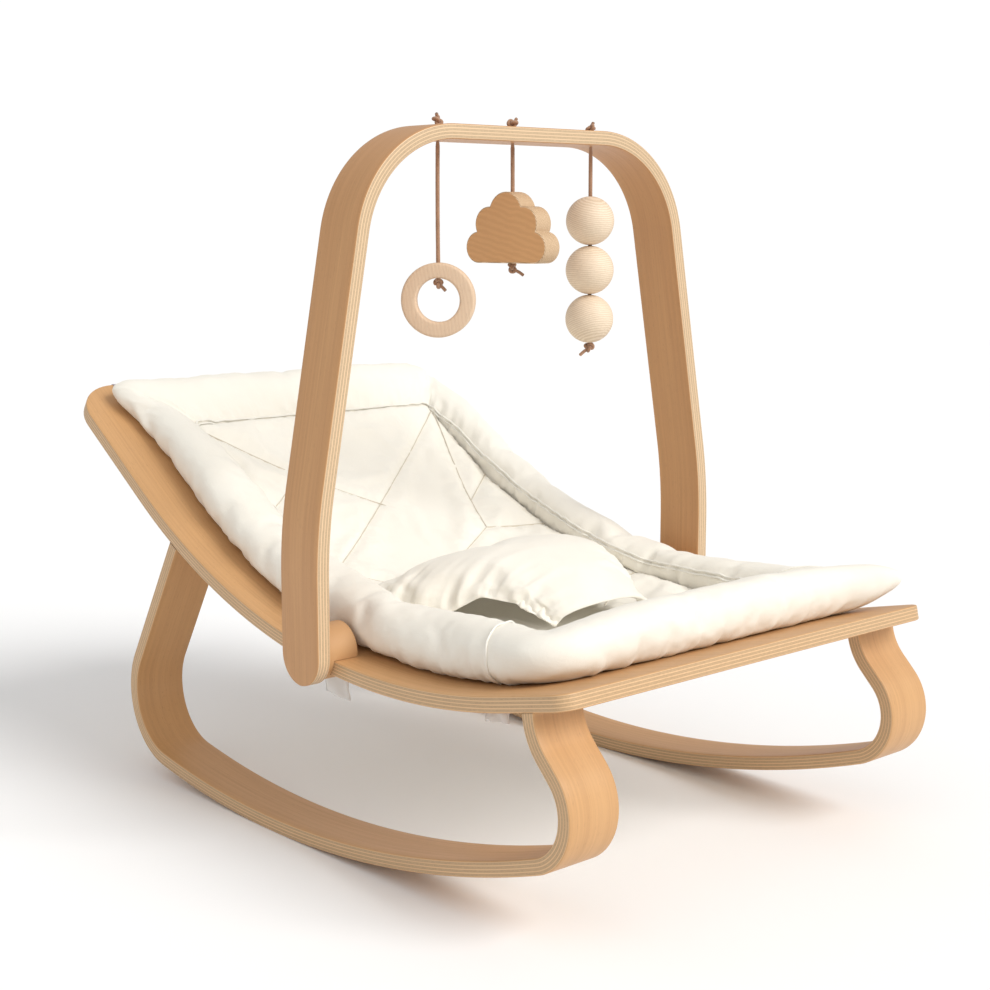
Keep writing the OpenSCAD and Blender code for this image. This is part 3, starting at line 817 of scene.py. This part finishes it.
def make_border(material):
    inner, outer = border_loops()
    n = len(inner)
    along = lengths(inner)
    verts, held, far = [], [], []
    m = 30
    tip = np.array([OUTER_X[1], OUTER_S[0]])
    tied = np.array([OUTER_X[0] * 0.945, OUTER_S[1]])
    for i in range(n):
        way = outer[i] - inner[i]
        # the corner at the baby's left foot sticks out and stands off the seat frame
        out = math.exp(-(np.linalg.norm(outer[i] - tip) / FOOT_TIP[0]) ** 2)
        # the strap pulls the corner at the baby's right shoulder outwards
        pulled = math.exp(-(np.linalg.norm(outer[i] - tied) / SHOULDER[0]) ** 2)
        way = way + out * FOOT_TIP[1] + pulled * SHOULDER[1]
        width = np.linalg.norm(way)
        way = way / width
        y = SEAT.lift([outer[i, 1]], 0)[0][0]
        height = np.interp(y, BORDER_Y, BORDER_HEIGHT) * MM
        height *= 1 + 0.04 * noise.noise(Vector((along[i] * 12, 3.1, 0)))
        power = np.interp(y, [0.25, 0.315], [0.85, 1.0])
        seam_h = np.interp(y, [0.15, 0.30], [17, 20]) * MM
        sec, pin, seam_index = border_section(width, height, seam_h, power, 13 * MM * out, m)
        p = inner[i] + np.outer(sec[:, 0], way)
        verts.append(on_seat(p[:, 0], p[:, 1], sec[:, 1]))
        held.append(pin & (out < 0.3))
        far.append(np.minimum(np.linalg.norm(sec - sec[seam_index], axis=1),
                              np.linalg.norm(sec - [width, 0], axis=1)))
    verts = np.vstack(verts)
    rnd = np.random.default_rng(5)
    verts = verts + rnd.normal(0, 0.25 * MM, verts.shape) * ~np.hstack(held)[:, None]
    faces = grid_faces(n, m, True, True)
    obj = new_object("cushion_border_cotton", verts, faces, material)
    float_layer(obj, "seam", np.hstack(far))
    float_layer(obj, "along", np.repeat(along, m))
    inflate(obj, np.nonzero(np.hstack(held))[0], pressure=3.0, grow=0.022)
    rings = np.array([v.co for v in obj.data.vertices]).reshape(n, m, 3)
    return obj, rings, seam_index


def panel_place(u, s):
    """The x of a place on the panel: u runs from -1 at one side seam to 1 at the other."""
    x = np.interp(u, [-1, 1], SEAM_X)
    left = SEAM_X[0] * cushion_taper(np.full_like(x, -1.0), s)
    return left + (x - SEAM_X[0]) * (SEAM_X[1] - left) / (SEAM_X[1] - SEAM_X[0])


def line_distance(p, a, b):
    """(distance, length along) of points p to the line from a to b."""
    a, b = np.array(a), np.array(b)
    way = b - a
    t = np.clip((p - a) @ way / (way @ way), 0, 1)
    return np.linalg.norm(p - a - np.outer(t, way), axis=1), t * np.linalg.norm(way)


# the stitched lines across the panel: from (x, y) to (x, y) in millimetres
STITCHED = [((159, 256), (-130, 42)), ((-130, 253), (12, 145)), ((-57, 197), (-132, 142)),
            ((157, 252), (130, 180)), ((130, 180), (95, 89)), ((95, 89), (160, 70)),
            ((95, 89), (36, 54)), ((159, 166), (113, 134)), ((-130, 60), (-70, 10)),
            ((160, -40), (60, -112)), ((95, -74), (160, -57)), ((-139, -60), (-60, -112)),
            ((160, -130), (10, -240)), ((-139, -130), (20, -245)), ((60, -250), (159, -185)),
            ((-60, -250), (-139, -190))]
QUILT = [[(x * MM, seat_s(y * MM)) for x, y in line] for line in STITCHED]


def panel_rim(x, s):
    """How far a place on the panel is from the panel's seam."""
    one = np.ones_like(x)
    side = np.minimum(panel_place(one, s) - x, x - panel_place(-one, s))
    return np.minimum(side, np.minimum(s - SEAM_S[0], SEAM_S[1] - s))


def panel_bowl(x, s):
    """The height of the panel's stitched lines above the seat."""
    edge = np.interp(SEAT.lift(s, 0)[:, 0], [0.15, 0.25], [17, 20]) * MM
    return edge - BOWL * (1 - np.exp(-(np.maximum(panel_rim(x, s), 0) / (40 * MM)) ** 1.4))


def make_stitches(material):
    """The thread that lies in the creases of the quilting. The thread is real, and its darker
    colour is partly painted shade of the creases.
    """
    verts, faces, count = [], [], 0
    for a, b in QUILT:
        x, s = [np.linspace(a[k], b[k], max(8, int(math.dist(a, b) / (4 * MM)))) for k in (0, 1)]
        inside = panel_rim(x, s) > 1 * MM
        x, s = x[inside], s[inside]
        wobble = np.array([noise.noise(Vector((p * 60, q * 60, 4.0))) for p, q in zip(x, s)])
        path = on_seat(x + 0.5 * MM * wobble, s, panel_bowl(x, s) + STITCH_LIFT)
        v, f = tube_mesh(path, STITCH, 6, count)
        verts.append(v)
        faces += f
        count += len(v)
    return new_object("quilting_thread_painted_shade", np.vstack(verts), faces, material)


def make_panel(material):
    """The quilted middle: a top and an underside sewn together along the stitches."""
    s0, s1 = SEAM_S
    nx, ns = 69, 123
    uu, ss = [a.ravel() for a in np.meshgrid(np.linspace(-1, 1, nx), np.linspace(s0, s1, ns))]
    xx = panel_place(uu, ss)
    flat = np.column_stack([xx, ss])
    far, along = np.full(len(xx), 1.0), np.zeros(len(xx))
    for a, b in QUILT:
        d, t = line_distance(flat, a, b)
        closer = d < far
        far[closer], along[closer] = d[closer], t[closer] + 0.31 * a[1]
    rim = panel_rim(xx, ss)
    bowl = panel_bowl(xx, ss)
    puff = PUFF * (1 - np.exp(-(far / (13 * MM)) ** 1.1)) * (1 - np.exp(-rim / (9 * MM)))
    top = on_seat(xx, ss, bowl + puff)
    # the underside hangs a little through the opening of the seat frame
    hx, hy = HOLE[0] - 4 * MM, HOLE[1] - 6 * MM
    t0, t1 = seat_s(-hy), seat_s(hy)
    s_low = t0 + (ss - s0) / (s1 - s0) * (t1 - t0)
    near = np.minimum(hx * (1 - np.abs(uu)), np.minimum(s_low - t0, t1 - s_low))
    sag = np.clip(near / (40 * MM), 0, 1)
    x_low = uu * (hx - 6 * MM * (1 - sag))
    under = on_seat(x_low, s_low, -PLY - 5 * MM * sag ** 0.5 - 0.7 * puff * sag)
    held = (far < 2.0 * MM) | (rim < 1.5 * MM)
    verts = np.vstack([top, under])
    obj = new_object("quilted_panel_cotton", verts, shell_faces(ns, nx), material)
    float_layer(obj, "seam", np.tile(np.minimum(far, np.maximum(rim, 0)), 2))
    float_layer(obj, "along", np.tile(np.where(rim < far, xx + ss, along), 2))
    inflate(obj, np.nonzero(np.tile(held, 2))[0], pressure=3.0, grow=0.014, limit=7 * MM)
    return obj


HARNESS_X = 2 * MM
CROSS_SEAMS = [(-0.139, -0.220), (0.159, -0.220)]   # nearest places on the panel's seam


def harness_point(u, v):
    """A place on the harness pad: u across (-1..1), v from its back edge to its front."""
    mid_y, mid_z, side_x, side_y, side_z = [
        np.interp(v, [0, 0.16, 0.30, 0.42, 0.55, 0.75, 1.0], row) * MM
        for row in ([-4, -30, -55, -78, -102, -140, -178], [214, 228, 235, 237, 234, 224, 203],
                    [135, 130, 119, 101, 84, 66, 52], [-6, -34, -62, -86, -106, -135, -165],
                    [193, 190, 188, 191, 206, 202, 185])]
    a = np.abs(u)
    x = np.sign(u) * side_x * np.sin(a * math.pi / 2) ** 0.9 + HARNESS_X
    lift = np.cos(a * math.pi / 2) ** (0.95 - 0.2 * v)
    y = side_y + (mid_y - side_y) * (1 - a ** 2)
    z = side_z + (mid_z - side_z) * lift
    return np.column_stack([x, y, z])


def make_harness(material):
    """The padded flap between the leg holes, gathered along their rims."""
    nu, nv = 61, 45
    u, v = [a.ravel() for a in np.meshgrid(np.linspace(-1, 1, nu), np.linspace(0, 1, nv))]
    outer = harness_point(u, v)
    step = 1e-3
    du = harness_point(np.clip(u + step, -1, 1), v) - harness_point(np.clip(u - step, -1, 1), v)
    dv = harness_point(u, np.clip(v + step, 0, 1)) - harness_point(u, np.clip(v - step, 0, 1))
    normal = unit(np.cross(dv, du))
    normal *= np.sign(normal[:, 2:3] + 1e-9)
    rim = np.minimum(1 - np.abs(u), np.minimum(v, 1 - v) * 1.4)
    thick = 9 * MM * np.clip(rim / 0.16, 0, 1) ** 0.5
    verts = np.vstack([outer, outer - normal * (thick[:, None] + 0.8 * MM)])
    held = (np.abs(u) > 0.97) | (v < 0.01) | (v > 0.99)
    obj = new_object("harness_pad_cotton", verts, shell_faces(nv, nu), material)
    gap = (1 - np.abs(u)) * 60 * MM
    float_layer(obj, "seam", np.tile(gap, 2))
    float_layer(obj, "along", np.tile(v * 0.2 + 0.5 * np.sign(u), 2))
    inflate(obj, np.nonzero(np.tile(held, 2))[0], pressure=4.0, grow=0.035, limit=10 * MM)
    return obj


def make_piping(name, points, radius, material, closed=False):
    """A thin corded edge along a seam."""
    p = np.array(points)
    if closed:
        p = np.vstack([p, p[:2]])
    return tube(name, smooth_path(p, len(p) * 2), radius, material, 8)


def make_seams(rings, seam, material):
    """The double corded seam round the panel and the seams across the border's tube."""
    pieces = []
    held = rings[:, seam]
    for k, (step, rise) in enumerate(((1, 1.1), (-1, 1.3))):
        way = unit(rings[:, (seam + step) % rings.shape[1]] - held)
        line = held + way * 1.7 * MM + [0, -0.4 * rise * MM, 1.5 * rise * MM]
        pieces.append(make_piping(f"panel_piping_{k}", line, 1.0 * MM, material, closed=True))
    for k, spot in enumerate(CROSS_SEAMS):
        at = int(np.argmin(np.linalg.norm(held[:, :2] - spot, axis=1)))
        ring = rings[at]
        out = unit(ring - ring.mean(axis=0))
        keep = [(seam - j) % len(ring) for j in range(0, len(ring) * 2 // 3)]
        pieces.append(make_piping(f"border_piping_{k}", (ring + out * 0.6 * MM)[keep], 0.9 * MM,
                                  material))
    return pieces


# ---- small parts -----------------------------
# tabs on each rail: y, width, reach under the rail (mm) and hanging length (mm)
TABS = [(-222 * MM, 26 * MM, 22, 11), (-41 * MM, 30 * MM, 38, 27)]


def band_mesh(name, lines, thick, material):
    """A thin flat band through rows of points (each row runs across the band)."""
    rows = np.array(lines, float)
    n, m = rows.shape[:2]
    flat = rows.reshape(-1, 3)
    du = np.gradient(rows, axis=0).reshape(-1, 3)
    dv = np.gradient(rows, axis=1).reshape(-1, 3)
    normal = unit(np.cross(du, dv))
    verts = np.vstack([flat + normal * thick / 2, flat - normal * thick / 2])
    return new_object(name, verts, shell_faces(n, m), material)


def make_tab(name, side, y, wide, reach, drop, material, seed):
    """A cotton tab: down the inner side of the rail, under it and hanging off its end."""
    low, wide, rail = seat_z(y), wide / 2, 145
    line = smooth_path([(rail + 1, 9), (rail, 0), (rail, -4), (rail + 4, -6.0),
                        (rail + reach * 0.6, -5.7), (rail + reach, -7),
                        (rail + reach + 3, -6 - drop * 0.5), (rail + reach + 4, -6 - drop)],
                       40) * MM
    rows = []
    for i, p in enumerate(line):
        free = max(0, (i - 24) / 16)
        row = []
        for k in np.linspace(-1, 1, 9):
            q = np.array([p[0], y + k * wide * (1 - 0.06 * free), low + p[1]])
            q[2] += seat_z(q[1]) - low
            w = noise.noise(Vector((i * 0.16, k * 1.7, seed)))
            q[0] += free * 3.0 * MM * w + free * 1.2 * MM * k
            q[2] += free * 2.0 * MM * noise.noise(Vector((i * 0.2, k * 2.2, seed + 9)))
            row.append((side * q[0], q[1] - free * 4 * MM, q[2]))
        rows.append(row)
    return band_mesh(name, rows, 1.3 * MM, material)


def make_strap(name, side, material):
    """A narrow elastic that hooks over the head edge of the seat frame."""
    x, w = side * 166 * MM, 4.2 * MM
    end = SEAT.rear.length
    line = smooth_path([(-22, 3.0), (-12, 1.4), (-3, 1.1), (1.2, -1.5), (1.3, -6.2), (1.2, -11.0),
                        (-3, -13.6), (-12, -13.7), (-27, -13.7)], 44) * MM
    k = x + w * np.linspace(-1, 1, 5)
    rows = [on_seat(k, end + s, h) for s, h in line]
    return band_mesh(name, rows, 1.1 * MM, material)


# ---- studio ----------------------------------
def sun_light(name, towards, softness, strength, colour=(1, 1, 1)):
    """A soft light from far away, so that the floor is evenly lit."""
    light = bpy.data.lights.new(name, "SUN")
    light.angle = math.radians(softness)
    light.energy, light.color = strength, colour
    obj = bpy.data.objects.new(name, light)
    obj.rotation_euler = Vector(towards).to_track_quat("Z", "Y").to_euler()
    bpy.context.scene.collection.objects.link(obj)


def make_studio():
    """A white studio: the sky that lights the object is dimmer than the one behind it."""
    scene = bpy.context.scene
    scene.view_settings.view_transform = "Standard"
    world = bpy.data.worlds.new("studio")
    scene.world = world
    world.use_nodes = True
    tree = world.node_tree
    seen = tree.nodes.new("ShaderNodeLightPath")
    strength = tree.nodes.new("ShaderNodeMapRange")
    strength.inputs[3].default_value, strength.inputs[4].default_value = SKY_LIGHT, SKY_SEEN
    tree.links.new(seen.outputs["Is Camera Ray"], strength.inputs[0])
    background = tree.nodes["Background"]
    background.inputs[0].default_value = (1.0, 1.0, 1.0, 1)
    tree.links.new(strength.outputs[0], background.inputs[1])
    white = Shader("floor_white").finish((0.95, 0.95, 0.95, 1), 0.7, Specular_IOR_Level=0.1)
    square = [(-6, -6, 0), (6, -6, 0), (6, 6, 0), (-6, 6, 0)]
    new_object("floor", square, [(0, 1, 2, 3)], white)
    sun_light("key", (0.30, -1.0, 0.80), softness=34, strength=2.35, colour=(1.0, 0.99, 0.97))
    sun_light("fill", (-0.8, -0.4, 0.9), softness=60, strength=0.38)


# ---- everything ------------------------------
def add(obj, body, nodes=()):
    """Tells the frame which body a piece rides and what it replaces."""
    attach(obj, body)
    if nodes:
        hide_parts(*nodes)


def main():
    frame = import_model()
    nodes = frame["nodes"]
    make_camera()
    cord = cord_material("suede_lace")
    make_cords(cord)

    ply = ply_material("beech_ply", (0.63, 0.36, 0.162), (0.555, 0.305, 0.13), (0.70, 0.46, 0.25))
    # the arch is the same beech ply as the seat: its darker faces are painted shade and its paler
    # edges are painted light
    arch_ply_painted_light = ply_material("beech_ply_arch_painted_light", (0.585, 0.315, 0.136), (0.51, 0.26, 0.108),
                            (0.76, 0.55, 0.34))
    block = solid_wood("block_beech", (0.66, 0.40, 0.20), (0.56, 0.32, 0.15))
    pale = solid_wood("pale_beech", (0.86, 0.72, 0.56), (0.72, 0.57, 0.41))
    ring_wood = solid_wood("ring_beech", (0.74, 0.555, 0.39), (0.70, 0.51, 0.35), rings=0.6)
    cloud = solid_wood("cloud_beech", (0.70, 0.39, 0.175), (0.60, 0.32, 0.135), ridges=0.1,
                       plain=0.5)
    cloud_rim = solid_wood("cloud_sawn_edge", (0.76, 0.57, 0.38), (0.44, 0.28, 0.15), rings=1.6,
                           ridges=0.6)
    cotton = cloth_material("ivory_cotton", (0.885, 0.85, 0.765), (0.855, 0.815, 0.725))
    # real thread, coloured darker than the cotton to paint the shade that lies in the quilting's
    # creases
    thread = cloth_material("quilting_thread_painted_shade", (0.66, 0.60, 0.49), (0.60, 0.54, 0.44))
    piping = cloth_material("cotton_piping", (0.86, 0.84, 0.77), (0.83, 0.80, 0.73))
    # the tabs are cotton too; their greyer, darker colour is painted shade from hanging under the
    # rails
    tab_tape_painted_shade = cloth_material("tab_cotton", (0.80, 0.78, 0.74), (0.74, 0.72, 0.69))
    elastic = cloth_material("grey_elastic", (0.52, 0.48, 0.52), (0.46, 0.42, 0.46))
    steel = steel_material("steel")

    add(make_seat_frame(ply), "rocker_seat", ["seat_frame"])
    for hand, side in (("right", -1), ("left", 1)):
        rocker = make_rocker(hand + "_rocker", side, ply)
        add(rocker, "rocker_seat", ["rocker_" + hand])
    add(make_arch(arch_ply_painted_light), "arch", ["activity_arch"])
    add(make_ring(ring_wood), "ring", ["ring_toy"])
    add(make_cloud(cloud, cloud_rim), "cloud", ["cloud_toy"])
    for i, place in ((1, "top"), (0, "middle"), (-1, "bottom")):
        bead = make_bead("wood_bead_" + place, i * BEAD_STEP, 11 + i, pale)
        add(bead, place + "_bead", ["bead_" + place])

    border, rings, seam = make_border(cotton)
    pucker(refine(border), depth=1.6 * MM, reach=20 * MM, seed=1.0)
    add(border, "rocker_seat", ["cushion_border"])
    for piece in make_seams(rings, seam, piping):
        add(piece, "rocker_seat")
    panel = make_panel(cotton)
    pucker(refine(panel), depth=0.9 * MM, reach=13 * MM, seed=2.0)
    add(panel, "rocker_seat", ["quilted_panel"])
    add(make_stitches(thread), "rocker_seat")
    harness = make_harness(cotton)
    pucker(refine(harness), depth=2.1 * MM, reach=24 * MM, seed=3.0)
    add(harness, "rocker_seat", ["harness_pad"])

    places = [(side, *kind) for side in (-1, 1) for kind in TABS]
    for k, place in enumerate(places):
        tab = make_tab(f"tab_{k}", *place, tab_tape_painted_shade, k * 3.3)
        add(tab, "rocker_seat", ["rail_tabs"] if k == 0 else [])
    for k, side in enumerate((-1, 1)):
        strap = make_strap(f"strap_{k}", side, elastic)
        add(strap, "rocker_seat", ["head_straps"] if k == 0 else [])

    for name, node in nodes.items():
        metal = name.startswith("pivot") or name in ("rocker_screws", "tab_snaps")
        if metal or name in ("clamp_block_right", "clamp_block_left"):
            node.data.materials.clear()
            node.data.materials.append(steel if metal else block)
    make_studio()


main()
